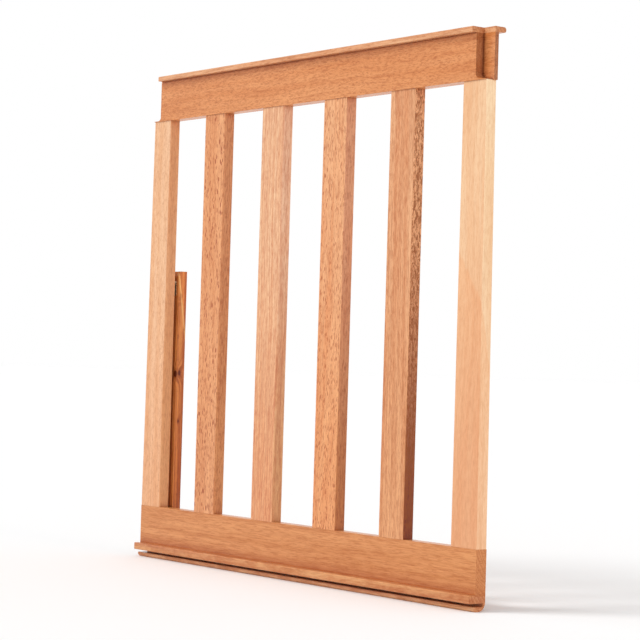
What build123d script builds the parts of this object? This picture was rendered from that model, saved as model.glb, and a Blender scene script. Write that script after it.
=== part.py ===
from build123d import *
from math import cos, radians, sin
import os

# Table easel: a slatted beech panel with a narrow picture ledge, propped by a
# rear stand that folds flat against the stiles. Millimetres, +Z up, the face
# of the panel towards -Y, the origin on the floor at the centre of the base.

# Driving dimensions of the panel
STOCK_T = 12.0          # planed thickness of stiles, slats and bottom rail
STILE_FOOT_W = 34.0     # stile width where it meets the bottom rail
STILE_HEAD_W = 30.0     # stile width under the top rail: the outer edge tapers
SLAT_W = 35.0
SLAT_COUNT = 4
GAP_W = 65.0            # clear space between neighbouring uprights
CLEAR_H = 412.0         # height of the uprights between the rails
BOTTOM_RAIL_H = 40.0
TOP_RAIL_W = 528.0      # a little past the heads of the stiles
TOP_RAIL_H = 42.5
TOP_RAIL_T = 13.0
TOP_RAIL_PROUD = 1.0    # top rail stands this far in front of the slats
PANEL_FRONT = -8.75     # front face of stiles and slats
ARRIS_R = 0.8           # softened long edges

# Ledge moulding: a shelf in front, a saw kerf under it, a rounded lip below
LEDGE_OVERHANG = 7.5
LEDGE_TOP_T = 7.2
LEDGE_REBATE = 1.0      # the bottom rail sits this deep in the moulding
KERF_H = 3.0
KERF_DEPTH = 16.8
LIP_T = 4.3
LIP_OVERHANG = 2.4
LIP_NOSE_R = 3.0
HEEL_R = 8.0

# Cap on the top rail and the corner notches cut through both
CAP_T = 5.0
CAP_FRONT_LIP = 5.3
CAP_REAR_LIP = 8.7
CAP_NOSE_R = 2.2
NOTCH_W = 14.7
NOTCH_DEPTH = 8.8
NOTCH_FLOOR = 0.6       # wood left under the notch, as far out as the stile
NOTCH_R = 6.5

# Mortise and tenon joints, and hidden dowels
TENON_T = 6.0
TENON_L = 20.0
SLAT_TENON_W = 25.0
STILE_FOOT_TENON_W = 22.0
STILE_HEAD_TENON_W = 11.0
TENON_SHOULDER = 4.0    # from the inner edge of a stile to its tenon
MORTISE_END_GAP = 0.5
DOWEL_R = 2.0
CAP_DOWEL_L = 13.0
CAP_DOWEL_IN_CAP = 3.0
LEDGE_DOWEL_L = 15.0
LEDGE_DOWEL_IN_LEDGE = 5.0
DOWEL_XS = (-220.0, -75.0, 75.0, 220.0)

# Folding stand: two legs and a cross bar, on a butt hinge behind each stile
LEG_W = 19.0
LEG_T = 10.0
LEG_H = 306.0
LEG_INSET = 3.5         # legs stand this far inside the stiles' inner edges
FOLD_GAP = 3.0          # between the panel's back and a folded leg
HEAD_H = 11.5           # leg head above the hinge axis, the open stop
OPEN_DEG = 25.0
STOP_CLEAR = 0.15
CROSS_BAR_H = 32.0
CROSS_BAR_Z = 18.0
BAR_DOWEL_R = 3.0
BAR_DOWEL_L = 26.0
BAR_DOWEL_PITCH = 16.0
BUMPER_R = 4.0
BUMPER_CLEAR = 0.3
BUMPER_X = 190.0
BUMPER_RIM_R = 1.0

# Butt hinges
HINGE_L = 13.0
HINGE_INSET = 1.5       # from the inner edge of the stile to the leaf
LEAF_T = 0.9
LEAF_H = 15.0
LEAF_CORNER_R = 2.0
KNUCKLE_R = 1.45
KNUCKLE_GAP = 0.3
MID_KNUCKLE_L = 4.4
PIN_R = 0.75
PIN_CLEAR = 0.05
PIN_HEAD_R = 1.2
PIN_HEAD_T = 0.6
KNUCKLE_RELIEF = 1.9    # leaf edge kept this far below the axis beside the other leaf's knuckle
WEB_LAP = 1.0           # the web under a knuckle runs this far into the leaf
SCREW_R = 1.2
SCREW_HEAD_R = SCREW_R + LEAF_T
SCREW_L = 9.0
SCREW_DROP = 9.5        # screws below the hinge axis
SCREW_PITCH = 7.0
SLOT_W = 0.5
SLOT_DEPTH = 0.45

# Derived positions
WIDTH = 2 * STILE_FOOT_W + SLAT_COUNT * SLAT_W + (SLAT_COUNT + 1) * GAP_W
HEAD_WIDTH = WIDTH - 2 * (STILE_FOOT_W - STILE_HEAD_W)
PANEL_REAR = PANEL_FRONT + STOCK_T
PANEL_MID = PANEL_FRONT + STOCK_T / 2
LEDGE_H = LIP_T + KERF_H + LEDGE_TOP_T
RAIL_TOP_Z = LEDGE_H + BOTTOM_RAIL_H
HEAD_Z = RAIL_TOP_Z + CLEAR_H
CAP_Z = HEAD_Z + TOP_RAIL_H
CAP_DOWEL_Z = CAP_Z + CAP_DOWEL_IN_CAP - CAP_DOWEL_L
LEDGE_DOWEL_Z = LEDGE_H - LEDGE_DOWEL_IN_LEDGE
TOP_FRONT = PANEL_FRONT - TOP_RAIL_PROUD
TOP_REAR = TOP_FRONT + TOP_RAIL_T
STILE_INNER_X = WIDTH / 2 - STILE_FOOT_W
LEG_INNER_X = STILE_INNER_X - LEG_INSET
LEG_X = LEG_INNER_X + LEG_W / 2
LEG_FRONT = PANEL_REAR + FOLD_GAP
LEG_REAR = LEG_FRONT + LEG_T
HINGE_X = STILE_INNER_X + HINGE_INSET + HINGE_L / 2
AXIS_Y = PANEL_REAR + FOLD_GAP / 2
AXIS_Z = LEG_H - HEAD_H
SIDES = {"left": -1, "right": 1}


def save(part, name):
    part.label = name
    export_step(part, f"parts/{name}.step")


def slat_x(index):
    """Centre of a slat, counted from 0 at the left."""
    return -STILE_INNER_X + GAP_W + SLAT_W / 2 + index * (SLAT_W + GAP_W)


def head_tenon_x(side):
    return side * (STILE_INNER_X + TENON_SHOULDER + STILE_HEAD_TENON_W / 2)


def foot_tenon_x(side):
    return side * (STILE_INNER_X + TENON_SHOULDER + STILE_FOOT_TENON_W / 2)


def add_upright_dowels(bottom_z, length, mode):
    """The row of dowels across the panel, added as pins or cut as their holes."""
    with Locations(*[(x, PANEL_MID, bottom_z + length / 2) for x in DOWEL_XS]):
        Cylinder(DOWEL_R, length, mode=mode)


def make_slat(index):
    x = slat_x(index)
    with BuildPart() as slat:
        with Locations((x, PANEL_MID, RAIL_TOP_Z + CLEAR_H / 2)):
            Box(SLAT_W, STOCK_T, CLEAR_H)
        fillet(slat.edges().filter_by(Axis.Z), ARRIS_R)
        with Locations(
            (x, PANEL_MID, HEAD_Z + TENON_L / 2),
            (x, PANEL_MID, RAIL_TOP_Z - TENON_L / 2),
        ):
            Box(SLAT_TENON_W, TENON_T, TENON_L)
    return slat.part


def make_stile(side):
    inner = side * STILE_INNER_X
    with BuildPart() as stile:
        with BuildSketch(Plane.XZ.offset(-PANEL_REAR)):
            with BuildLine():
                Polyline(
                    (inner, RAIL_TOP_Z),
                    (side * WIDTH / 2, RAIL_TOP_Z),
                    (side * HEAD_WIDTH / 2, HEAD_Z),
                    (inner, HEAD_Z),
                    close=True,
                )
            make_face()
        extrude(amount=STOCK_T)
        uprights = stile.edges().filter_by(lambda e: e.length > CLEAR_H - 1)
        fillet(uprights, ARRIS_R)
        with Locations((head_tenon_x(side), PANEL_MID, HEAD_Z + TENON_L / 2)):
            Box(STILE_HEAD_TENON_W, TENON_T, TENON_L)
        with Locations((foot_tenon_x(side), PANEL_MID, RAIL_TOP_Z - TENON_L / 2)):
            Box(STILE_FOOT_TENON_W, TENON_T, TENON_L)
        with BuildSketch(Plane.XZ.offset(-PANEL_REAR)):
            with Locations((side * HINGE_X, AXIS_Z - SCREW_DROP)):
                with GridLocations(SCREW_PITCH, 0, 2, 1):
                    Circle(SCREW_R)
        extrude(amount=SCREW_L - LEAF_T, mode=Mode.SUBTRACT)
    return stile.part


def make_bottom_rail():
    mortise_l = TENON_L + MORTISE_END_GAP
    with BuildPart() as rail:
        with Locations((0, PANEL_MID, LEDGE_H + (BOTTOM_RAIL_H - LEDGE_REBATE) / 2)):
            Box(WIDTH, STOCK_T, BOTTOM_RAIL_H + LEDGE_REBATE)
        top_edges = rail.edges().filter_by(Axis.X).group_by(Axis.Z)[-1]
        fillet(top_edges, ARRIS_R / 2)
        with Locations(*[(slat_x(i), PANEL_MID, RAIL_TOP_Z - mortise_l / 2) for i in range(SLAT_COUNT)]):
            Box(SLAT_TENON_W, TENON_T, mortise_l, mode=Mode.SUBTRACT)
        with Locations(*[(foot_tenon_x(s), PANEL_MID, RAIL_TOP_Z - mortise_l / 2) for s in (-1, 1)]):
            Box(STILE_FOOT_TENON_W, TENON_T, mortise_l, mode=Mode.SUBTRACT)
        add_upright_dowels(LEDGE_DOWEL_Z, LEDGE_DOWEL_L, Mode.SUBTRACT)
    return rail.part


def make_ledge_moulding():
    """Shelf, kerf and rounded lip in one moulding, rebated and dowelled under the bottom rail."""
    shelf_front = PANEL_FRONT - LEDGE_OVERHANG
    lip_front = PANEL_FRONT - LIP_OVERHANG
    kerf_back = shelf_front + KERF_DEPTH
    with BuildPart() as ledge:
        with BuildSketch(Plane.YZ.offset(-WIDTH / 2)) as profile:
            with BuildLine():
                Polyline(
                    (PANEL_REAR, HEEL_R),
                    (PANEL_REAR, LEDGE_H - LEDGE_REBATE),
                    (PANEL_FRONT, LEDGE_H - LEDGE_REBATE),
                    (PANEL_FRONT, LEDGE_H),
                    (shelf_front, LEDGE_H),
                    (shelf_front, LEDGE_H - LEDGE_TOP_T),
                    (kerf_back, LEDGE_H - LEDGE_TOP_T),
                    (kerf_back, LIP_T),
                    (lip_front, LIP_T),
                    (lip_front, 0),
                    (PANEL_REAR - HEEL_R, 0),
                )
                RadiusArc((PANEL_REAR - HEEL_R, 0), (PANEL_REAR, HEEL_R), -HEEL_R)
            make_face()
            nose = profile.vertices().group_by(Axis.Y)[0].sort_by(Axis.X)[0]
            fillet(nose, LIP_NOSE_R)
        extrude(amount=WIDTH)
        shelf_edges = ledge.edges().filter_by(Axis.X).group_by(Axis.Y)[0]
        fillet(shelf_edges, ARRIS_R)
        add_upright_dowels(LEDGE_DOWEL_Z, LEDGE_DOWEL_L, Mode.SUBTRACT)
    return ledge.part


def make_top_rail():
    mortise_l = TENON_L + MORTISE_END_GAP
    end = TOP_RAIL_W / 2
    inner = end - NOTCH_W
    floor_z = HEAD_Z + NOTCH_FLOOR
    with BuildPart() as rail:
        with Locations((0, (TOP_FRONT + TOP_REAR) / 2, HEAD_Z + TOP_RAIL_H / 2)):
            Box(TOP_RAIL_W, TOP_RAIL_T, TOP_RAIL_H)
        lower_edges = rail.edges().filter_by(Axis.X).group_by(Axis.Z)[0]
        fillet(lower_edges, ARRIS_R / 2)
        with BuildSketch(Plane.XZ.offset(-TOP_FRONT)):
            with BuildLine():
                Polyline(
                    (inner + NOTCH_R, floor_z),
                    (HEAD_WIDTH / 2, floor_z),
                    (HEAD_WIDTH / 2, HEAD_Z),
                    (end, HEAD_Z),
                    (end, CAP_Z),
                    (inner, CAP_Z),
                    (inner, floor_z + NOTCH_R),
                )
                RadiusArc((inner, floor_z + NOTCH_R), (inner + NOTCH_R, floor_z), -NOTCH_R)
            make_face()
            mirror(about=Plane.YZ)
        extrude(amount=-NOTCH_DEPTH, mode=Mode.SUBTRACT)
        with Locations(*[(slat_x(i), PANEL_MID, HEAD_Z + mortise_l / 2) for i in range(SLAT_COUNT)]):
            Box(SLAT_TENON_W, TENON_T, mortise_l, mode=Mode.SUBTRACT)
        with Locations(*[(head_tenon_x(s), PANEL_MID, HEAD_Z + mortise_l / 2) for s in (-1, 1)]):
            Box(STILE_HEAD_TENON_W, TENON_T, mortise_l, mode=Mode.SUBTRACT)
        add_upright_dowels(CAP_DOWEL_Z, CAP_DOWEL_L, Mode.SUBTRACT)
    return rail.part


def make_top_cap():
    """Thin cap with a lip at the front and a longer, rounded one at the back, notched like the rail."""
    front = TOP_FRONT - CAP_FRONT_LIP
    rear = TOP_REAR + CAP_REAR_LIP
    notch_back = TOP_FRONT + NOTCH_DEPTH
    with BuildPart() as cap:
        with Locations((0, (front + rear) / 2, CAP_Z + CAP_T / 2)):
            Box(TOP_RAIL_W, rear - front, CAP_T)
        long_edges = cap.edges().filter_by(Axis.X).group_by(Axis.Y)
        fillet(long_edges[-1], CAP_NOSE_R)
        front_edges = cap.edges().filter_by(Axis.X).group_by(Axis.Y)[0]
        fillet(front_edges, ARRIS_R)
        notch_x = (TOP_RAIL_W - NOTCH_W) / 2
        with Locations(*[(s * notch_x, (front + notch_back) / 2, CAP_Z + CAP_T / 2) for s in (-1, 1)]):
            Box(NOTCH_W, notch_back - front, CAP_T, mode=Mode.SUBTRACT)
        add_upright_dowels(CAP_DOWEL_Z, CAP_DOWEL_L, Mode.SUBTRACT)
    return cap.part


def make_upright_dowels(bottom_z, length):
    with BuildPart() as dowels:
        add_upright_dowels(bottom_z, length, Mode.ADD)
    return dowels.part


def make_leg(side):
    """Leg behind a stile. The bevel on its head lies flat on the stile when the stand is open."""
    swing = radians(OPEN_DEG)
    stop_y = PANEL_REAR + STOP_CLEAR - AXIS_Y
    bevel_top_y = AXIS_Y + (stop_y + HEAD_H * sin(swing)) / cos(swing)
    bevel_low_z = AXIS_Z + ((LEG_FRONT - AXIS_Y) * cos(swing) - stop_y) / sin(swing)
    with BuildPart() as leg:
        with BuildSketch(Plane.YZ.offset(side * LEG_X - LEG_W / 2)):
            with BuildLine():
                Polyline(
                    (LEG_FRONT, 0),
                    (LEG_REAR, 0),
                    (LEG_REAR, LEG_H),
                    (bevel_top_y, LEG_H),
                    (LEG_FRONT, bevel_low_z),
                    close=True,
                )
            make_face()
        extrude(amount=LEG_W)
        long_edges = leg.edges().filter_by(Axis.Z)
        fillet(long_edges, ARRIS_R)
        with BuildSketch(Plane.XZ.offset(-LEG_FRONT)):
            with Locations((side * HINGE_X, AXIS_Z - SCREW_DROP)):
                with GridLocations(SCREW_PITCH, 0, 2, 1):
                    Circle(SCREW_R)
        extrude(amount=LEAF_T - SCREW_L, mode=Mode.SUBTRACT)
        with BuildSketch(Plane.YZ.offset(side * LEG_INNER_X)):
            with Locations(((LEG_FRONT + LEG_REAR) / 2, CROSS_BAR_Z + CROSS_BAR_H / 2)):
                with GridLocations(0, BAR_DOWEL_PITCH, 1, 2):
                    Circle(BAR_DOWEL_R)
        extrude(amount=side * BAR_DOWEL_L / 2, mode=Mode.SUBTRACT)
    return leg.part


def make_cross_bar():
    length = 2 * LEG_INNER_X
    middle = (0, (LEG_FRONT + LEG_REAR) / 2, CROSS_BAR_Z + CROSS_BAR_H / 2)
    with BuildPart() as bar:
        with Locations(middle):
            Box(length, LEG_T, CROSS_BAR_H)
        fillet(bar.edges().filter_by(Axis.X), ARRIS_R)
        with Locations(middle):
            with GridLocations(length - BAR_DOWEL_L / 2, 0, 2, 1):
                with Locations((0, 0, -BAR_DOWEL_PITCH / 2), (0, 0, BAR_DOWEL_PITCH / 2)):
                    Cylinder(BAR_DOWEL_R, BAR_DOWEL_L / 2, rotation=(0, 90, 0), mode=Mode.SUBTRACT)
    return bar.part


def make_cross_bar_dowels():
    with BuildPart() as dowels:
        with Locations((0, (LEG_FRONT + LEG_REAR) / 2, CROSS_BAR_Z + CROSS_BAR_H / 2)):
            with GridLocations(2 * LEG_INNER_X, 0, 2, 1):
                with Locations((0, 0, -BAR_DOWEL_PITCH / 2), (0, 0, BAR_DOWEL_PITCH / 2)):
                    Cylinder(BAR_DOWEL_R, BAR_DOWEL_L, rotation=(0, 90, 0))
    return dowels.part


def make_fold_bumpers():
    """Buttons on the front of the cross bar that meet the bottom rail when the stand is folded."""
    with BuildPart() as bumpers:
        with BuildSketch(Plane.XZ.offset(-LEG_FRONT)):
            with Locations((0, CROSS_BAR_Z + CROSS_BAR_H / 2)):
                with GridLocations(2 * BUMPER_X, 0, 2, 1):
                    Circle(BUMPER_R)
        extrude(amount=FOLD_GAP - BUMPER_CLEAR)
        front_rims = bumpers.edges().group_by(Axis.Y)[0]
        fillet(front_rims, BUMPER_RIM_R)
    return bumpers.part


def make_hinge_leaf(side, fixed):
    """One leaf with its knuckles. The fixed leaf has the two outer knuckles, the moving one the middle."""
    x = side * HINGE_X
    wood_y = PANEL_REAR if fixed else LEG_FRONT
    inward = 1 if fixed else -1
    outer_l = (HINGE_L - MID_KNUCKLE_L) / 2 - KNUCKLE_GAP
    outer_x = (HINGE_L - outer_l) / 2
    knuckles = [(-outer_x, outer_l), (outer_x, outer_l)] if fixed else [(0, MID_KNUCKLE_L)]
    bore_r = PIN_R if fixed else PIN_R + PIN_CLEAR
    leaf_y = wood_y + inward * LEAF_T / 2
    web_h = KNUCKLE_RELIEF + WEB_LAP
    with BuildPart() as leaf:
        with Locations((x, leaf_y, AXIS_Z - (LEAF_H + KNUCKLE_RELIEF) / 2)):
            Box(HINGE_L, LEAF_T, LEAF_H - KNUCKLE_RELIEF)
        fillet(leaf.edges().filter_by(Axis.Y).group_by(Axis.Z)[0], LEAF_CORNER_R)
        for offset, length in knuckles:
            with Locations((x + offset, leaf_y, AXIS_Z - web_h / 2)):
                Box(length, LEAF_T, web_h)
            with Locations((x + offset, AXIS_Y, AXIS_Z)):
                Cylinder(KNUCKLE_R, length, rotation=(0, 90, 0))
        with Locations((x, AXIS_Y, AXIS_Z)):
            Cylinder(bore_r, HINGE_L, rotation=(0, 90, 0), mode=Mode.SUBTRACT)
        open_face = Plane.XZ.offset(-(wood_y + inward * LEAF_T))
        with BuildSketch(open_face):
            with Locations((x, AXIS_Z - SCREW_DROP)):
                with GridLocations(SCREW_PITCH, 0, 2, 1):
                    Circle(SCREW_HEAD_R)
        extrude(amount=inward * LEAF_T, taper=45, mode=Mode.SUBTRACT)
    return leaf.part


def make_hinge_pin(side):
    with BuildPart() as pin:
        with Locations((side * HINGE_X, AXIS_Y, AXIS_Z)):
            Cylinder(PIN_R, HINGE_L, rotation=(0, 90, 0))
            with GridLocations(HINGE_L + PIN_HEAD_T, 0, 2, 1):
                Cylinder(PIN_HEAD_R, PIN_HEAD_T, rotation=(0, 90, 0))
    return pin.part


def make_hinge_screws(fixed):
    """Slotted countersunk screws of one pair of leaves."""
    wood_y = PANEL_REAR if fixed else LEG_FRONT
    inward = 1 if fixed else -1
    head_y = wood_y + inward * LEAF_T
    spots = [
        (s * HINGE_X + offset, AXIS_Z - SCREW_DROP)
        for s in (-1, 1)
        for offset in (-SCREW_PITCH / 2, SCREW_PITCH / 2)
    ]
    with BuildPart() as screws:
        with BuildSketch(Plane.XZ.offset(-head_y)):
            with Locations(*spots):
                Circle(SCREW_HEAD_R)
        extrude(amount=inward * LEAF_T, taper=45)
        with BuildSketch(Plane.XZ.offset(-wood_y)):
            with Locations(*spots):
                Circle(SCREW_R)
        extrude(amount=inward * (SCREW_L - LEAF_T))
        with BuildSketch(Plane.XZ.offset(-head_y)):
            with Locations(*spots):
                Rectangle(2 * SCREW_HEAD_R, SLOT_W)
        extrude(amount=inward * SLOT_DEPTH, mode=Mode.SUBTRACT)
    return screws.part


os.makedirs("parts", exist_ok=True)
for number in range(SLAT_COUNT):
    save(make_slat(number), f"slat_{number + 1}")
for name, side in SIDES.items():
    save(make_stile(side), f"{name}_stile")
    save(make_leg(side), f"{name}_leg")
    save(make_hinge_leaf(side, fixed=True), f"{name}_hinge_fixed_leaf")
    save(make_hinge_leaf(side, fixed=False), f"{name}_hinge_moving_leaf")
    save(make_hinge_pin(side), f"{name}_hinge_pin")
save(make_bottom_rail(), "bottom_rail")
save(make_ledge_moulding(), "ledge_moulding")
save(make_top_rail(), "top_rail")
save(make_top_cap(), "top_cap")
save(make_upright_dowels(CAP_DOWEL_Z, CAP_DOWEL_L), "cap_dowels")
save(make_upright_dowels(LEDGE_DOWEL_Z, LEDGE_DOWEL_L), "ledge_dowels")
save(make_cross_bar(), "cross_bar")
save(make_cross_bar_dowels(), "cross_bar_dowels")
save(make_fold_bumpers(), "fold_bumpers")
save(make_hinge_screws(fixed=True), "panel_hinge_screws")
save(make_hinge_screws(fixed=False), "stand_hinge_screws")
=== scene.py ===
"""Looks of the folding table easel: beech, nickel hinges, studio and camera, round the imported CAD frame."""

import math
from typing import NamedTuple

import bmesh
import bpy
from mathutils import Matrix, Vector

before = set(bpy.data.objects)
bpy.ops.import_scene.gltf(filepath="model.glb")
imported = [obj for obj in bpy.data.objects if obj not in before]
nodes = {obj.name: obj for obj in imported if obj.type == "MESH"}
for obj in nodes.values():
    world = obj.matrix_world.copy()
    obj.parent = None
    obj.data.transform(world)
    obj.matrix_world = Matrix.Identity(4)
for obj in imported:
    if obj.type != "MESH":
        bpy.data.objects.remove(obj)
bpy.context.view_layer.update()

MM = 0.001
X_AXIS, Z_AXIS = 0, 2


def color(red, green, blue):
    """Linear colour of an sRGB one given from 0 to 255."""
    def linear(c):
        c /= 255.0
        return c / 12.92 if c <= 0.04045 else ((c + 0.055) / 1.055) ** 2.4
    return (linear(red), linear(green), linear(blue), 1.0)


def tint(red, green, blue):
    """A colour to multiply another by, where 1 changes nothing."""
    return (red, green, blue, 1.0)


# Camera: a long lens, to the right of the panel and level with its middle. Degrees, metres, and millimetres
# for the lens and the sensor
CAMERA_AZIMUTH = 51.955
CAMERA_ELEVATION = -1.122
CAMERA_ROLL = 1.686
CAMERA_DISTANCE = 1.9753
CAMERA_TARGET = Vector((0.03574, -0.00875, 0.2542))
CAMERA_LENS = 115.5
CAMERA_NEAR = 0.05
SENSOR = 36.0

# Studio: the sky lights matt surfaces with one brightness and is seen and reflected with another. Suns have
# their angles and their size in degrees
SKY_LIGHT = 0.68
SKY_SEEN = 1.0
FLOOR_RADIUS = 30.0
FLOOR_SIDES = 96
FLOOR_COLOR = tint(0.97, 0.97, 0.97)
FLOOR_CLOUD_SCALE = (6.0, 6.0, 6.0)
SUNS = {
    "key_light": dict(azimuth=-30.0, elevation=50.0, size=24.0, strength=1.35),
    "edge_light": dict(azimuth=90.0, elevation=8.0, size=9.0, strength=0.6),
}

# Colours of beech that all boards share
WHITE = tint(1.0, 1.0, 1.0)
FLECK = color(166, 80, 20)
BLOTCH_COLOR = color(150, 74, 6)
PATCH_TINT = tint(0.82, 0.66, 0.56)
END_TINT = tint(0.80, 0.70, 0.62)
RAIL_END_TINT = tint(0.92, 0.86, 0.84)
# Painted shade in inner corners: a wide soft tint and a narrow dark one
CREASE_SHADE = tint(0.78, 0.58, 0.42)
CORNER_SHADE = tint(0.30, 0.17, 0.10)
KNOT_COLOR = color(100, 36, 6)
SEAM_COLOR = color(255, 192, 120)

# Sizes of beech's features across, through and along the grain, in millimetres
WANDER_SIZE = (55.0, 55.0, 190.0)
STREAK_SIZE = (2.6, 2.6, 80.0)
PORE_SIZE = (0.22, 0.22, 1.6)
CLOUD_SIZE = (9.0, 9.0, 26.0)
BLOTCH_SIZE = (2.0, 2.0, 4.8)
BAND_LENGTH = 330.0
FIBRE_WIDTH = 1.3
RAY_DEPTH = 7.0
RAY_WOBBLE = 9.0
SEED_LENGTH = 731.0

# Where each feature of beech sets in and is complete, as levels of its own noise
BAND_LEVELS = (0.33, 0.67)
STREAK_LEVELS = (0.42, 0.72)
FIBRE_LEVELS = (0.47, 0.62)
FIBRE_GAP_LEVELS = (0.36, 0.47)
PORE_LEVELS = (0.60, 0.72)
CLOUD_LEVELS = (0.40, 0.62)
BLOTCH_LEVELS = (0.40, 0.61)
PORE_STRENGTH = 0.22

# Growth rings: how they vary from year to year, and where late wood begins and ends within a year
RING_DRIFT = 0.35
RING_SPREAD = 2.2
LATE_WOOD = (0.25, 0.92)
RING_END = (0.93, 1.0)
END_RINGS = 0.22

# Rays: reach of the least and the greatest one in its cell, and its soft rim
RAY_REACH = (0.001, 0.46)
RAY_RIM = (0.7, 1.0)

# Knots: stretch along X, Y and Z, push on the grain, and how far each part goes, in knot sizes
KNOT_STRETCH = (1.6, 1.0, 1.9)
KNOT_PUSH = 1.6
KNOT_PUSH_REACH = (0.0, 5.0)
KNOT_HEART = (0.7, 1.15)
KNOT_HALO = (1.0, 2.6)
KNOT_HALO_DEPTH = 0.5

# Boundaries, between two colours of heartwood or at the edge of painted shade or light: how ragged they are,
# and half the width of a seam
BOUNDARY_RAGGED = 3.0
SEAM_HALF = (0.4, 1.4)

# Faces, told apart by the part of the normal that points along an axis
END_FACING = (0.55, 0.9)
SIDE_FACING = (0.5, 0.85)
ARRIS_FACING = (0.80, 0.98)
ARRIS_UNEVEN = (0.3, 0.7)
ARRIS_LEAST = 0.4
# Strength of the painted highlight on arrises
ARRIS_HIGHLIGHT = 0.15

# Painted shade in inner corners: reach in millimetres, and the openness at which each is full and is gone
CREASE_REACH = 9.0
CREASE_OPEN = (0.25, 0.9)
CORNER_REACH = 3.5
CORNER_OPEN = (0.5, 0.95)

# Heights between which the tint at the panel's foot, partly painted shade, fades out, in millimetres
FOOT_FADE = (60.0, 380.0)

# Relief and finish: weights of the features, depths in millimetres
RELIEF = {"fibre": 0.5, "dash": -0.6, "late": 0.25, "pore": -0.3}
RELIEF_STRENGTH, RELIEF_DEPTH = 0.4, 0.12
SHEEN = {"fibre": 0.6, "streak": 0.4}
SHEEN_LEVELS = (0.3, 0.75)
SMOOTHER, ROUGHER = -0.07, 0.12
ROUGH_PLACES = {"end": 0.15, "arris": -0.08}
WOOD_SPECULAR = 0.15
LACQUER = 0.45
LACQUER_ROUGHNESS = 0.16
LACQUER_STRENGTH, LACQUER_DEPTH = 0.25, 0.03

# Metal and rubber: features per metre, and the levels between which each sets in
BRUSH_SCALE = (300.0, 4000.0, 4000.0)
TARNISH_SCALE = (700.0, 700.0, 700.0)
GRIT_SCALE = (2500.0, 2500.0, 2500.0)
DUST_SCALE = (300.0, 300.0, 300.0)
TARNISH_LEVELS = (0.35, 0.7)
DUST_LEVELS = (0.45, 0.75)
MID_LEVELS = (0.3, 0.7)


class Boundary(NamedTuple):
    """A plane at which a board's colour changes. It stands at a Y, or at a Z where the grain follows X."""

    tint: tuple             # of the wood beyond the plane, or short of it where soft is negative
    at: float               # its Y or Z at the origin along the grain and the board's middle across it
    soft: float             # half the width of the change
    slope: float = 0.0      # how fast the plane moves with the place along the grain
    skew: float = 0.0       # and with the place across the board
    seam: float = 0.0       # strength of a bright line along it


class Knot(NamedTuple):
    """A small knot, as an ellipsoid."""

    place: tuple
    size: float


class Board(NamedTuple):
    """The looks of one board. Lengths are millimetres, and the figure is set out from the board's middle."""

    pale: tuple                     # the two colours of its bands
    deep: tuple
    fleck: tuple = FLECK            # colour of its rays, fibres, pores and late wood
    grain: str = "Z"                # axis that the grain follows
    seed: float = 0.0               # where along an endless log the board was cut
    slide: float = 0.0              # how far the figure is moved off the board's middle
    lean: float = 0.0               # slope of the grain
    sway: float = 16.0              # how far the grain wanders
    pith: tuple = (12.0, 46.0)      # centre of the growth rings, across and through the board
    ring_width: float = 3.4
    rings: float = 0.2              # strengths of late wood, streaks and fibres
    streaks: float = 0.35
    fibres: float = 0.35
    fibre_length: float = 9.0
    band: float = 11.0              # width of the colour bands
    flecks: float = 0.5             # strength of the rays, and its share on the faces towards +X and -X
    side_flecks: float = 0.25
    fleck_size: tuple = (1.5, 8.0)  # room for one ray across and along the grain
    fleck_share: float = 0.35       # how many rays show
    mottle: float = 0.0             # strength of blotches on the faces towards +X and -X
    patches: float = 0.0            # strength of pinkish clouds
    # The side and foot tints are partly the wood's own colour and partly painted light and shade: sides lit
    # more or less than the front, and the foot darker.
    side: tuple = WHITE             # tints: faces towards +X and -X, the front at the panel's foot,
    foot: tuple = WHITE             # those faces at the foot where they differ, and end grain
    side_foot: tuple = None
    end_tint: tuple = END_TINT
    boundary: Boundary = None
    knots: tuple = ()
    crease: float = 1.0             # strengths of the wide and the narrow shade in inner corners
    corner: float = 0.0
    rough: float = 0.46


def direction(azimuth, elevation):
    """Unit vector from the object to a viewer or light. Azimuth 0 is in front, 90 at the panel's right."""
    a, e = math.radians(azimuth), math.radians(elevation)
    return Vector((math.sin(a) * math.cos(e), -math.cos(a) * math.cos(e), math.sin(e)))


def make_camera():
    """The camera, turned about its own axis after it was aimed."""
    back = direction(CAMERA_AZIMUTH, CAMERA_ELEVATION)
    right = Vector((0, 0, 1)).cross(back).normalized()
    up = back.cross(right)
    roll = math.radians(CAMERA_ROLL)
    x_axis = right * math.cos(roll) + up * math.sin(roll)
    y_axis = up * math.cos(roll) - right * math.sin(roll)
    data = bpy.data.cameras.new("camera")
    data.lens = CAMERA_LENS
    data.sensor_width = SENSOR
    data.clip_start = CAMERA_NEAR
    camera = bpy.data.objects.new("camera", data)
    turn = Matrix((x_axis, y_axis, back)).transposed().to_4x4()
    camera.matrix_world = Matrix.Translation(CAMERA_TARGET + back * CAMERA_DISTANCE) @ turn
    bpy.context.scene.collection.objects.link(camera)
    bpy.context.scene.camera = camera


def make_sun(name, azimuth, elevation, size, strength):
    """A sun lamp, with its angles and its size in degrees."""
    data = bpy.data.lights.new(name, "SUN")
    data.energy = strength
    data.angle = math.radians(size)
    sun = bpy.data.objects.new(name, data)
    sun.rotation_euler = direction(azimuth, elevation).to_track_quat("Z", "Y").to_euler()
    bpy.context.scene.collection.objects.link(sun)


def make_sky():
    """A plain white sky, whose brightness depends on the kind of ray that meets it."""
    world = bpy.data.worlds.new("studio")
    world.use_nodes = True
    tree = world.node_tree
    tree.nodes.clear()
    path = tree.nodes.new("ShaderNodeLightPath")
    level = tree.nodes.new("ShaderNodeMapRange")
    tree.links.new(path.outputs["Is Diffuse Ray"], level.inputs["Value"])
    level.inputs["To Min"].default_value = SKY_SEEN
    level.inputs["To Max"].default_value = SKY_LIGHT
    background = tree.nodes.new("ShaderNodeBackground")
    tree.links.new(level.outputs["Result"], background.inputs["Strength"])
    background.inputs["Color"].default_value = WHITE
    out = tree.nodes.new("ShaderNodeOutputWorld")
    tree.links.new(background.outputs["Background"], out.inputs["Surface"])
    bpy.context.scene.world = world


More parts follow.
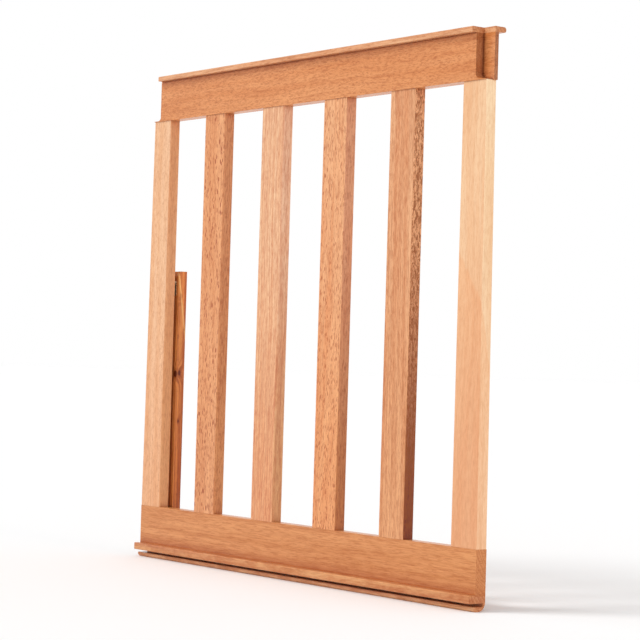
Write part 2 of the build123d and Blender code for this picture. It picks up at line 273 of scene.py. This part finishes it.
class Tree:
    """A short way to write a material's nodes."""

    def __init__(self, name):
        self.material = bpy.data.materials.new(name)
        self.material.use_nodes = True
        self.nodes = self.material.node_tree.nodes
        self.links = self.material.node_tree.links
        self.nodes.clear()

    def feed(self, socket, value):
        """Links a socket to an output, or sets its value."""
        if isinstance(value, bpy.types.NodeSocket):
            self.links.new(value, socket)
        else:
            socket.default_value = value

    def add(self, kind, inputs=None, **settings):
        made = self.nodes.new("ShaderNode" + kind)
        for key, value in settings.items():
            setattr(made, key, value)
        for key, value in (inputs or {}).items():
            self.feed(made.inputs[key], value)
        return made

    def math(self, operation, a, b=0.0, c=0.0):
        return self.add("Math", {0: a, 1: b, 2: c}, operation=operation).outputs[0]

    def vector(self, x, y, z):
        return self.add("CombineXYZ", {0: x, 1: y, 2: z}).outputs[0]

    def length(self, vector):
        return self.add("VectorMath", {0: vector}, operation="LENGTH").outputs["Value"]

    def noise(self, at, detail, rough=0.5, distort=0.0):
        inputs = {"Vector": at, "Scale": 1.0, "Detail": detail, "Roughness": rough, "Distortion": distort}
        return self.add("TexNoise", inputs).outputs["Fac"]

    def grit(self, scale, detail):
        """Noise in object space, with scale features to a metre along each axis."""
        at = self.add("TexCoord").outputs["Object"]
        return self.noise(self.add("Mapping", {"Vector": at, "Scale": scale}).outputs[0], detail)

    def stretch(self, place, size):
        """A point whose three coordinates are divided by the three feature sizes."""
        return self.vector(*(self.math("MULTIPLY", value, 1 / part) for value, part in zip(place, size)))

    def step(self, value, ends, low=0.0, high=1.0):
        """Smooth step from low at the first end to high at the second."""
        inputs = {"Value": value, "From Min": ends[0], "From Max": ends[1], "To Min": low, "To Max": high}
        return self.add("MapRange", inputs, interpolation_type="SMOOTHSTEP").outputs["Result"]

    def fade(self, value, ends):
        """Smooth step down, from 1 at the first end to 0 at the second."""
        return self.step(value, ends, 1.0, 0.0)

    def crease(self, reach, ends, amount):
        """How deep a point lies in an inner corner, up to the given amount. Reach is in millimetres."""
        openness = self.add("AmbientOcclusion", {"Distance": reach * MM}, samples=8).outputs["AO"]
        return self.step(openness, ends, amount, 0.0)

    def blend(self, amount, a, b, mode="MIX"):
        made = self.add("Mix", data_type="RGBA", blend_type=mode)
        for key, value in (("Factor", amount), ("A", a), ("B", b)):
            self.feed([s for s in made.inputs if s.name == key and s.enabled][0], value)
        return [s for s in made.outputs if s.enabled][0]

    def bump(self, height, strength, depth):
        """Normal of a relief that is depth millimetres deep."""
        inputs = {"Height": height, "Strength": strength, "Distance": depth * MM}
        return self.add("Bump", inputs).outputs["Normal"]

    def surface(self, **inputs):
        shader = self.add("BsdfPrincipled")
        for key, value in inputs.items():
            self.feed(shader.inputs[key.replace("_", " ")], value)
        self.add("OutputMaterial", {"Surface": shader.outputs["BSDF"]})
        return self.material


class Beech(Tree):
    """Solid beech in object space, so that its figure runs on round the edges of a board."""

    def __init__(self, node, board):
        super().__init__(node + "_beech")
        self.board = board
        self.upright = board.grain == "Z"
        self.find_place(node)
        self.let_grain_wander()
        self.grow_knots()
        self.grow_rings()
        self.grow_rays()
        self.grow_fibres()
        self.find_faces()

    def find_place(self, node):
        """The point's place and normal, and how far it is across and along the board."""
        board = self.board
        coords = self.add("TexCoord")
        place = self.add("SeparateXYZ", {0: coords.outputs["Object"]})
        self.x, self.y, self.z = (self.math("MULTIPLY", place.outputs[i], 1 / MM) for i in range(3))
        facing = self.add("SeparateXYZ", {0: coords.outputs["Normal"]})
        self.facing = [self.math("ABSOLUTE", facing.outputs[i]) for i in range(3)]
        if self.upright:
            width, self.along, axis = self.x, self.z, X_AXIS
        else:
            width, self.along, axis = self.z, self.x, Z_AXIS
        from_middle = self.math("SUBTRACT", width, middle(node, axis) + board.slide)
        self.wide = self.math("MULTIPLY_ADD", self.along, board.lean, from_middle)
        self.log = self.math("ADD", self.along, board.seed * SEED_LENGTH)

    def let_grain_wander(self):
        """Slow noise that shifts all figure sideways and in depth."""
        at = self.stretch((self.wide, self.y, self.log), WANDER_SIZE)
        slow = self.add("TexNoise", {"Vector": at, "Scale": 1.0, "Detail": 2.0})
        shift = self.add("SeparateColor", {0: slow.outputs["Color"]})
        aside, inward = (self.math("SUBTRACT", shift.outputs[i], 0.5) for i in range(2))
        self.across = self.math("MULTIPLY_ADD", aside, self.board.sway, self.wide)
        self.through = self.math("MULTIPLY_ADD", inward, self.board.sway, self.y)
        self.wobble = self.math("MULTIPLY_ADD", shift.outputs[2], RAY_WOBBLE, self.across)

    def grow_knots(self):
        """Each knot has a heart and a halo, and the grain bulges round it."""
        self.heart = self.halo = 0.0
        for knot in self.board.knots:
            radii = [knot.size * part for part in KNOT_STRETCH]
            parts = zip((self.x, self.y, self.z), knot.place, radii)
            off = self.vector(*(self.math("MULTIPLY_ADD", value, 1 / radius, -centre / radius)
                                for value, centre, radius in parts))
            reach = self.length(off)
            bulge = self.fade(reach, KNOT_PUSH_REACH)
            self.through = self.math("MULTIPLY_ADD", bulge, KNOT_PUSH * knot.size, self.through)
            self.heart = self.math("MAXIMUM", self.fade(reach, KNOT_HEART), self.heart)
            self.halo = self.math("MAXIMUM", self.fade(reach, KNOT_HALO), self.halo)

    def grow_rings(self):
        """Growth rings round the pith, each with late wood that ends sharply."""
        board = self.board
        sideways = self.math("SUBTRACT", self.across, board.pith[0])
        inwards = self.math("SUBTRACT", self.through, board.pith[1])
        year = self.math("MULTIPLY", self.length(self.vector(sideways, inwards, 0.0)), 1 / board.ring_width)
        drift = self.vector(self.math("MULTIPLY", year, RING_DRIFT), 0.0, board.seed)
        uneven = self.noise(drift, detail=1.0)
        phase = self.math("FRACT", self.math("MULTIPLY_ADD", uneven, RING_SPREAD, year))
        self.late = self.math("MULTIPLY", self.step(phase, LATE_WOOD), self.fade(phase, RING_END))

    def grow_rays(self):
        """Rays: thin dashes on a tangential face, blotches on a radial one."""
        board = self.board
        width, length = board.fleck_size
        at = self.stretch((self.wobble, self.through, self.log), (width, RAY_DEPTH, length))
        cells = self.add("TexVoronoi", {"Vector": at, "Scale": 1.0})
        chance = self.add("SeparateColor", {0: cells.outputs["Color"]}).outputs[0]
        reach = self.step(chance, (1.0 - board.fleck_share, 1.0), *RAY_REACH)
        self.dash = self.fade(self.math("DIVIDE", cells.outputs["Distance"], reach), RAY_RIM)

    def figure(self, size, detail, rough=0.5, distort=0.0):
        """Noise with features of the given size across, through and along the grain."""
        at = self.stretch((self.across, self.through, self.log), size)
        return self.noise(at, detail, rough, distort)

    def grow_fibres(self):
        """Colour bands, streaks, fibres, pores and clouds."""
        band = self.board.band
        stain = self.figure((band, band * 2.0, BAND_LENGTH), detail=2.0, rough=0.55)
        self.bands = self.step(stain, BAND_LEVELS)
        self.streak = self.figure(STREAK_SIZE, detail=3.0, rough=0.65)
        self.fibre = self.figure((FIBRE_WIDTH, FIBRE_WIDTH, self.board.fibre_length), detail=4.0, rough=0.75)
        self.pore = self.figure(PORE_SIZE, detail=1.0)
        self.cloud = self.figure(CLOUD_SIZE, detail=3.0, rough=0.6)

    def find_faces(self):
        """How much the point is on end grain, on a side towards +X or -X, or on an arris, where a highlight
        is painted.
        """
        sideways, outwards, upwards = self.facing
        self.end = self.step(upwards if self.upright else sideways, END_FACING)
        self.side = self.step(sideways, SIDE_FACING) if self.upright else 0.0
        flat = self.math("MAXIMUM", self.math("MAXIMUM", sideways, outwards), upwards)
        uneven = self.step(self.streak, ARRIS_UNEVEN, ARRIS_LEAST, 1.0)
        self.arris = self.math("MULTIPLY", self.fade(flat, ARRIS_FACING), uneven)

    def add_boundary(self, tone):
        """Tint beyond a plane, and the seam beside it: another colour of heartwood on some boards, painted
        shade or painted light on others.
        """
        plane = self.board.boundary
        across = self.math("MULTIPLY_ADD", self.wide, plane.skew, self.y if self.upright else self.z)
        ragged = self.math("MULTIPLY_ADD", self.streak, BOUNDARY_RAGGED, across)
        line = self.math("MULTIPLY_ADD", self.along, plane.slope, ragged)
        beyond = self.step(line, (plane.at - plane.soft, plane.at + plane.soft))
        tone = self.blend(beyond, tone, plane.tint, "MULTIPLY")
        beside = self.math("ABSOLUTE", self.math("SUBTRACT", line, plane.at))
        return self.blend(self.step(beside, SEAM_HALF, plane.seam, 0.0), tone, SEAM_COLOR)

    def add_grain(self, tone):
        """Late wood, streaks, fibres, pores and rays, in the colour of the flecks."""
        board = self.board
        side_change = board.flecks * (board.side_flecks - 1.0)
        layers = (
            (self.late, self.math("MULTIPLY_ADD", self.end, END_RINGS, board.rings), board.fleck),
            (self.step(self.streak, STREAK_LEVELS), board.streaks, board.fleck),
            (self.step(self.fibre, FIBRE_LEVELS), board.fibres, board.fleck),
            (self.fade(self.fibre, FIBRE_GAP_LEVELS), board.fibres, board.pale),
            (self.step(self.pore, PORE_LEVELS), PORE_STRENGTH, board.fleck),
            (self.dash, self.math("MULTIPLY_ADD", self.side, side_change, board.flecks), board.fleck),
        )
        for where, amount, shade in layers:
            tone = self.blend(self.math("MULTIPLY", where, amount), tone, shade)
        return tone

    def face_tint(self):
        """Tint of the front and of the sides, which changes towards the panel's foot. It is partly the wood's
        own colour and partly painted light and shade on the sides and at the foot.
        """
        board = self.board
        height_up = self.step(self.z, FOOT_FADE)
        front = self.blend(height_up, board.foot, WHITE)
        flank = self.blend(height_up, board.side_foot or board.side, board.side)
        return self.blend(self.side, front, flank)

    def colours(self):
        """The wood's colour, from its bands to the painted shade in its corners and the painted highlights on
        its arrises.
        """
        board = self.board
        tone = self.blend(self.bands, board.pale, board.deep)
        if board.boundary:
            tone = self.add_boundary(tone)
        if board.patches:
            clouds = self.math("MULTIPLY", self.step(self.cloud, CLOUD_LEVELS), board.patches)
            tone = self.blend(clouds, tone, PATCH_TINT, "MULTIPLY")
        tone = self.add_grain(tone)
        if self.upright:
            tone = self.blend(1.0, tone, self.face_tint(), "MULTIPLY")
        if board.mottle:
            blotch = self.figure(BLOTCH_SIZE, detail=3.0, rough=0.7, distort=0.8)
            on_side = self.math("MULTIPLY", self.step(blotch, BLOTCH_LEVELS), self.side)
            spots = self.math("MULTIPLY", on_side, board.mottle)
            tone = self.blend(spots, tone, BLOTCH_COLOR)
        tone = self.blend(self.end, tone, board.end_tint, "MULTIPLY")
        if board.knots:
            tone = self.blend(self.math("MULTIPLY", self.halo, KNOT_HALO_DEPTH), tone, board.fleck)
            tone = self.blend(self.heart, tone, KNOT_COLOR)
        # Painted shade in inner corners, found by ambient occlusion: a wide soft band and a narrow dark one
        shades = (
            (CREASE_REACH, CREASE_OPEN, board.crease, CREASE_SHADE),
            (CORNER_REACH, CORNER_OPEN, board.corner, CORNER_SHADE),
        )
        for reach, ends, amount, shade in shades:
            if amount:
                tone = self.blend(self.crease(reach, ends, amount), tone, shade, "MULTIPLY")
        # Painted highlight: arrises made paler, towards the board's pale colour
        return self.blend(self.math("MULTIPLY", self.arris, ARRIS_HIGHLIGHT), tone, board.pale)

    def total(self, weights, start=0.0):
        """Start plus each named feature times its weight."""
        for feature, weight in weights.items():
            start = self.math("MULTIPLY_ADD", getattr(self, feature), weight, start)
        return start


def middle(node, axis):
    """Middle of a node's own box along an axis, in millimetres."""
    places = [vertex.co[axis] for vertex in nodes[node].data.vertices]
    return (min(places) + max(places)) / 2 / MM


def beech(node, board):
    """Satin lacquered beech for one board."""
    wood = Beech(node, board)
    uneven = wood.step(wood.total(SHEEN), SHEEN_LEVELS, board.rough + SMOOTHER, board.rough + ROUGHER)
    return wood.surface(
        Base_Color=wood.colours(),
        Roughness=wood.total(ROUGH_PLACES, uneven),
        Normal=wood.bump(wood.total(RELIEF), RELIEF_STRENGTH, RELIEF_DEPTH),
        Specular_IOR_Level=WOOD_SPECULAR,
        Coat_Weight=LACQUER,
        Coat_Roughness=LACQUER_ROUGHNESS,
        Coat_Normal=wood.bump(wood.fibre, LACQUER_STRENGTH, LACQUER_DEPTH),
    )


def nickel():
    """Brushed nickel plating, tarnished in places."""
    t = Tree("nickel_plated_steel")
    brush = t.grit(BRUSH_SCALE, detail=3.0)
    tarnish = t.step(t.grit(TARNISH_SCALE, detail=3.0), TARNISH_LEVELS)
    return t.surface(
        Base_Color=t.blend(tarnish, color(206, 190, 162), color(150, 122, 92)),
        Metallic=1.0,
        Roughness=t.step(brush, MID_LEVELS, low=0.34, high=0.52),
        Normal=t.bump(brush, strength=0.2, depth=0.02),
    )


def rubber():
    """Matt black rubber with some dust on it."""
    t = Tree("black_rubber")
    grit = t.grit(GRIT_SCALE, detail=3.0)
    dust = t.step(t.grit(DUST_SCALE, detail=2.0), DUST_LEVELS)
    return t.surface(
        Base_Color=t.blend(dust, color(30, 29, 28), color(66, 62, 58)),
        Roughness=t.step(grit, MID_LEVELS, low=0.62, high=0.82),
        Normal=t.bump(grit, strength=0.5, depth=0.05),
    )


def floor_paint():
    """Matt white paint."""
    t = Tree("floor_paint")
    rough = t.step(t.grit(FLOOR_CLOUD_SCALE, detail=2.0), MID_LEVELS, low=0.75, high=0.85)
    return t.surface(Base_Color=FLOOR_COLOR, Roughness=rough, Specular_IOR_Level=0.1)


def make_floor():
    """A round floor, staged so that it isn't part of the easel."""
    mesh = bpy.data.meshes.new("floor")
    shape = bmesh.new()
    bmesh.ops.create_circle(shape, cap_ends=True, radius=FLOOR_RADIUS, segments=FLOOR_SIDES)
    shape.to_mesh(mesh)
    shape.free()
    floor = bpy.data.objects.new("floor", mesh)
    mesh.materials.append(floor_paint())
    bpy.context.scene.collection.objects.link(floor)


def paint(node, material):
    """Gives a node its one material."""
    nodes[node].data.materials.clear()
    nodes[node].data.materials.append(material)


LEG = Board(
    pale=color(247, 162, 88), deep=color(192, 102, 44), fleck=color(140, 58, 20), band=1.7, sway=10.0,
    rings=0.28, streaks=0.30, fibres=0.25, flecks=0.3, side_flecks=1.0,
    side=tint(1.12, 1.22, 1.25), side_foot=tint(0.80, 0.60, 0.38), crease=0.0, rough=0.34)
BOARDS = {
    "left_stile": Board(
        pale=color(247, 201, 160), deep=color(240, 183, 135), seed=1.0, pith=(40.0, 70.0),
        rings=0.05, streaks=0.12, fibres=0.30, flecks=0.3, fleck_size=(1.2, 5.0), fleck_share=0.8,
        side=tint(0.95, 0.74, 0.58), foot=tint(0.94, 0.83, 0.75), side_foot=tint(0.97, 0.83, 0.66)),
    "slat_1": Board(
        pale=color(243, 176, 122), deep=color(231, 157, 102), fleck=color(156, 58, 4),
        seed=2.0, lean=0.03, pith=(2.0, 90.0),
        rings=0.08, streaks=0.2, fibres=0.45, flecks=0.95, fleck_size=(1.5, 7.0), fleck_share=0.97,
        side=tint(0.88, 0.79, 0.77), foot=tint(0.95, 0.93, 0.93), side_foot=tint(0.86, 0.76, 0.64)),
    "slat_2": Board(
        pale=color(247, 202, 158), deep=color(237, 177, 131), fleck=color(190, 104, 66), band=4.5,
        seed=3.0, pith=(70.0, 20.0),
        rings=0.25, streaks=0.45, fibres=0.45, flecks=0.3, fleck_size=(1.2, 6.0), fleck_share=0.8,
        side=tint(1.09, 1.09, 1.19), foot=tint(0.93, 0.77, 0.65), side_foot=tint(0.94, 0.8, 0.62)),
    "slat_3": Board(
        pale=color(245, 183, 132), deep=color(233, 156, 102), fleck=color(162, 68, 6),
        seed=4.0, lean=-0.02, pith=(-20.0, 80.0),
        rings=0.08, streaks=0.2, fibres=0.45, flecks=0.8, fleck_size=(1.3, 6.0), fleck_share=0.95,
        side=tint(0.93, 0.84, 0.92), foot=tint(0.97, 0.87, 0.74), side_foot=tint(0.69, 0.48, 0.3)),
    "slat_4": Board(
        pale=color(239, 179, 131), deep=color(225, 154, 105), fleck=color(166, 82, 30),
        seed=5.0, lean=0.02, sway=9.0, pith=(26.0, 30.0), mottle=0.9,
        rings=0.22, streaks=0.3, fibres=0.45, flecks=0.25, fleck_size=(1.3, 9.0), fleck_share=0.8,
        side=tint(1.25, 1.25, 1.25), foot=tint(0.96, 0.91, 0.83), side_foot=tint(0.37, 0.15, 0.02)),
    "right_stile": Board(
        pale=color(245, 203, 160), deep=color(238, 184, 137), fleck=color(206, 140, 92),
        seed=6.0, pith=(30.0, 90.0),
        rings=0.06, streaks=0.2, fibres=0.3, flecks=0.15, fleck_share=0.6,
        side=tint(1.06, 1.18, 1.25), foot=tint(0.9, 0.78, 0.73), side_foot=tint(1.04, 1.13, 1.25),
        boundary=Boundary(tint(0.985, 0.86, 0.78), at=51.0, soft=-0.7, slope=0.2, skew=0.29)),
    "left_leg": LEG._replace(
        seed=7.0, pith=(30.0, -14.0),
        boundary=Boundary(tint(0.96, 0.80, 0.72), at=58.65, soft=0.6, slope=0.155, skew=0.5, seam=1.0),
        knots=(Knot((-229.0, 9.6, 197.5), 1.6), Knot((-231.5, 6.2, 196.5), 2.0),
               Knot((-229.0, 10.0, 146.0), 0.9))),
    "right_leg": LEG._replace(seed=8.0, pith=(-10.0, 30.0)),
    "cross_bar": LEG._replace(grain="X", seed=9.0, pith=(-8.0, 40.0)),
    "top_rail": Board(
        pale=color(231, 156, 98), deep=color(219, 139, 80), fleck=color(164, 78, 28),
        grain="X", seed=10.0, slide=0.25, pith=(4.0, 70.0),
        rings=0.08, streaks=0.25, fibres=0.45, fibre_length=6.0, fleck_size=(0.8, 5.0), fleck_share=0.9,
        # Painted shadow under the cap's lip: the narrow corner shade and the darker band above Z 505
        end_tint=tint(0.60, 0.57, 0.64), crease=0.4, corner=0.8,
        boundary=Boundary(tint(0.88, 0.77, 0.66), at=505.0, soft=3.0)),
    "top_cap": Board(
        pale=color(240, 184, 137), deep=color(226, 159, 111),
        grain="X", seed=11.0, slide=-0.5, pith=(30.0, 40.0),
        rings=0.12, streaks=0.3, fibre_length=16.0, flecks=0.4, fleck_size=(1.3, 10.0), fleck_share=0.7),
    "bottom_rail": Board(
        pale=color(223, 152, 94), deep=color(208, 134, 76),
        grain="X", seed=12.0, sway=5.0, pith=(40.0, 46.0), ring_width=3.0,
        rings=0.12, streaks=0.25, fibres=0.42, fibre_length=20.0,
        flecks=0.4, fleck_size=(0.8, 11.0), fleck_share=0.7, end_tint=RAIL_END_TINT,
        # Painted shade above the ledge: the rail's lower part darker, fading in from Z 29 to Z 15
        boundary=Boundary(tint(0.84, 0.72, 0.62), at=22.0, soft=-7.0)),
    "ledge_moulding": Board(
        pale=color(224, 162, 107), deep=color(208, 138, 91),
        grain="X", seed=13.0, slide=-0.25, sway=8.0, pith=(14.0, 10.0), patches=1.0,
        rings=0.18, flecks=0.3, fleck_size=(1.0, 9.0), fleck_share=0.7, end_tint=RAIL_END_TINT, crease=0.0,
        # Painted light: the lip and the kerf's floor below Z 5 made brighter where the ledge above shades
        # them
        boundary=Boundary(tint(1.22, 1.42, 1.75), at=5.0, soft=-0.6)),
    "cap_dowels": Board(pale=color(232, 190, 148), deep=color(214, 166, 120), seed=14.0),
}

for name, board in BOARDS.items():
    paint(name, beech(name, board))
dowel_wood = nodes["cap_dowels"].data.materials[0]
for name in ("ledge_dowels", "cross_bar_dowels"):
    paint(name, dowel_wood)
steel = nickel()
for name in nodes:
    if "hinge" in name:
        paint(name, steel)
paint("fold_bumpers", rubber())

make_floor()
make_sky()
for name, sun in SUNS.items():
    make_sun(name, **sun)
make_camera()
bpy.context.scene.view_settings.view_transform = "Standard"
